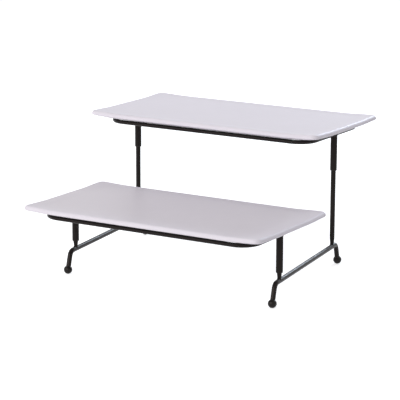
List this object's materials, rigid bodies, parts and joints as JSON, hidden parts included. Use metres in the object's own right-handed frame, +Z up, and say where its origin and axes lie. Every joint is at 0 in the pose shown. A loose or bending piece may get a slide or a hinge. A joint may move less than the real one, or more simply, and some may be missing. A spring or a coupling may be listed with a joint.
{
  "type": "tiered buffet stand",
  "caption": "Stepped serving stand: rectangular white platters on black wire racks whose sleeves turn on the posts of bent-rod side frames with ball feet.",
  "frame": {"origin": "on the table, under the middle of the whole stand", "axes": "+X to the right along the platters, +Y from the low front tier to the high rear tier, +Z up"},
  "size_m": [0.3968, 0.3938, 0.208],
  "materials": {
    "white_porcelain": "gloss",
    "black_wire_coat": "satin",
    "black_post_coat": "satin",
    "black_ball_coat": "satin"
  },
  "bodies": {
    "left_frame": {"left_base_rod": "black_wire_coat", "left_front_post": "black_post_coat", "left_rear_post": "black_post_coat", "left_front_foot": "black_ball_coat", "left_rear_foot": "black_ball_coat", "left_frame_welds": "black_wire_coat"},
    "right_frame": {"right_base_rod": "black_wire_coat", "right_front_post": "black_post_coat", "right_rear_post": "black_post_coat", "right_front_foot": "black_ball_coat", "right_rear_foot": "black_ball_coat", "right_frame_welds": "black_wire_coat"},
    "lower_rack": {"lower_ring": "black_wire_coat", "lower_left_sleeve": "black_post_coat", "lower_right_sleeve": "black_post_coat", "lower_rack_welds": "black_wire_coat"},
    "upper_rack": {"upper_ring": "black_wire_coat", "upper_left_sleeve": "black_post_coat", "upper_right_sleeve": "black_post_coat", "upper_rack_welds": "black_wire_coat"},
    "lower_dish": {"lower_platter": "white_porcelain"},
    "upper_dish": {"upper_platter": "white_porcelain"}
  },
  "joints": [
    {"name": "stand_swivel", "type": "hinge", "parent": "left_frame", "child": "lower_rack", "pos_m": [-0.15057, -0.10093, 0.06], "axis": [0, 0, 1], "range_deg": [-52, 66]},
    {"name": "upper_rack_turn", "type": "hinge", "parent": "left_frame", "child": "upper_rack", "pos_m": [-0.17643, 0.10093, 0.16], "axis": [0, 0, 1], "range_deg": [-52, 66]},
    {"name": "right_frame_turn", "type": "hinge", "parent": "lower_rack", "child": "right_frame", "pos_m": [0.17643, -0.10093, 0.06], "axis": [0, 0, 1], "range_deg": [-66, 52]},
    {"name": "lower_platter_lift", "type": "slide", "parent": "lower_rack", "child": "lower_dish", "axis": [0, 0, 1], "range_m": [0, 0.078]},
    {"name": "upper_platter_lift", "type": "slide", "parent": "upper_rack", "child": "upper_dish", "axis": [0, 0, 1], "range_m": [0, 0.1]}
  ],
  "couplings": [
    {"joint": "upper_rack_turn", "follows": "stand_swivel", "ratio": 1},
    {"joint": "right_frame_turn", "follows": "stand_swivel", "ratio": -1}
  ]
}
